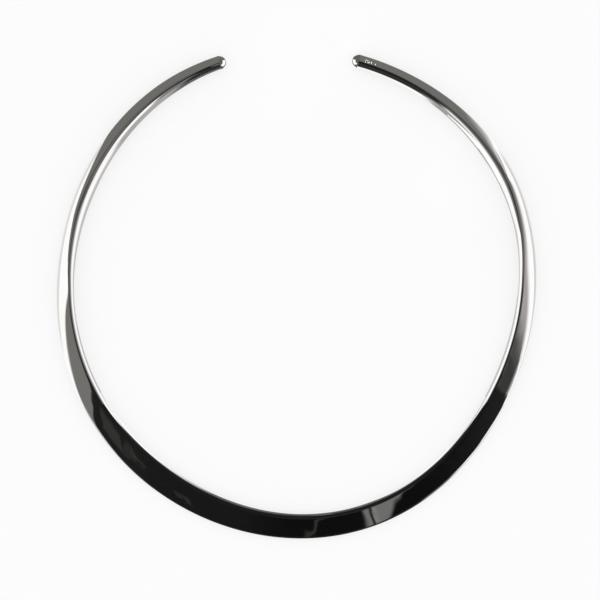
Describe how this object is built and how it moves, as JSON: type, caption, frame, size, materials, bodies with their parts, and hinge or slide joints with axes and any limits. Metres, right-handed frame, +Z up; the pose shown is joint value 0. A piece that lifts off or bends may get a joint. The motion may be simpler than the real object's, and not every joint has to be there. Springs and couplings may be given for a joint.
{
  "type": "torc neck ring",
  "caption": "Plain open silver neck ring: a round bar at the back, forged out into a wide polished band across the front.",
  "frame": {"origin": "centre of the ring's footprint, on the surface that it lies on", "axes": "+Z up through the ring as it lies flat; the wide front of the ring towards -Y and the opening between its tips towards +Y"},
  "size_m": [0.1322, 0.1334, 0.0051],
  "materials": {
    "polished_silver": "polished to a mirror, with fine wear scratches"
  },
  "bodies": {
    "root": {"neck_ring": "polished_silver"}
  },
  "joints": []
}
